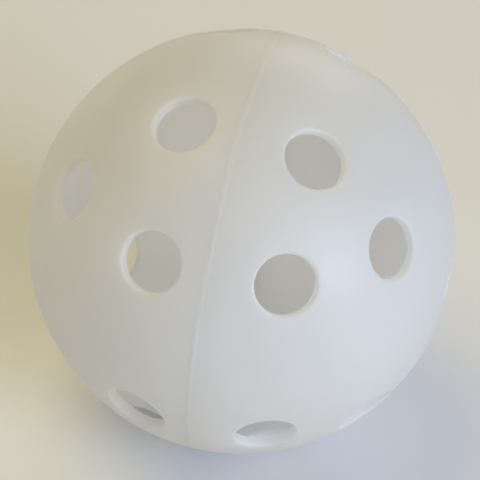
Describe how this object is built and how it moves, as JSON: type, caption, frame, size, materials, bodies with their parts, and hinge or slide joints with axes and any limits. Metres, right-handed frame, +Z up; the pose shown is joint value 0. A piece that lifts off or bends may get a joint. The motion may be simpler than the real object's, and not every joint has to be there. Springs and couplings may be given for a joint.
{
  "type": "pickleball ball",
  "caption": "Indoor pickleball ball: a hollow white plastic ball with round holes, moulded as two half shells and welded at the seam",
  "frame": {"origin": "centre of the ball, which is the centre of the box", "axes": "X runs through the two polar holes, so the seam lies in the YZ plane; +Z is up, and the middle of one group of four seam holes faces forward (-Y) and up (+Z)"},
  "size_m": [0.0732, 0.0742, 0.0742],
  "materials": {
    "shell_left": "satin, milky translucent",
    "shell_right": "satin, milky translucent",
    "weld": "satin, slightly clearer than the shells"
  },
  "bodies": {
    "root": {"half_shell_left": "shell_left", "half_shell_right": "shell_right", "weld_bead": "weld"}
  },
  "joints": []
}
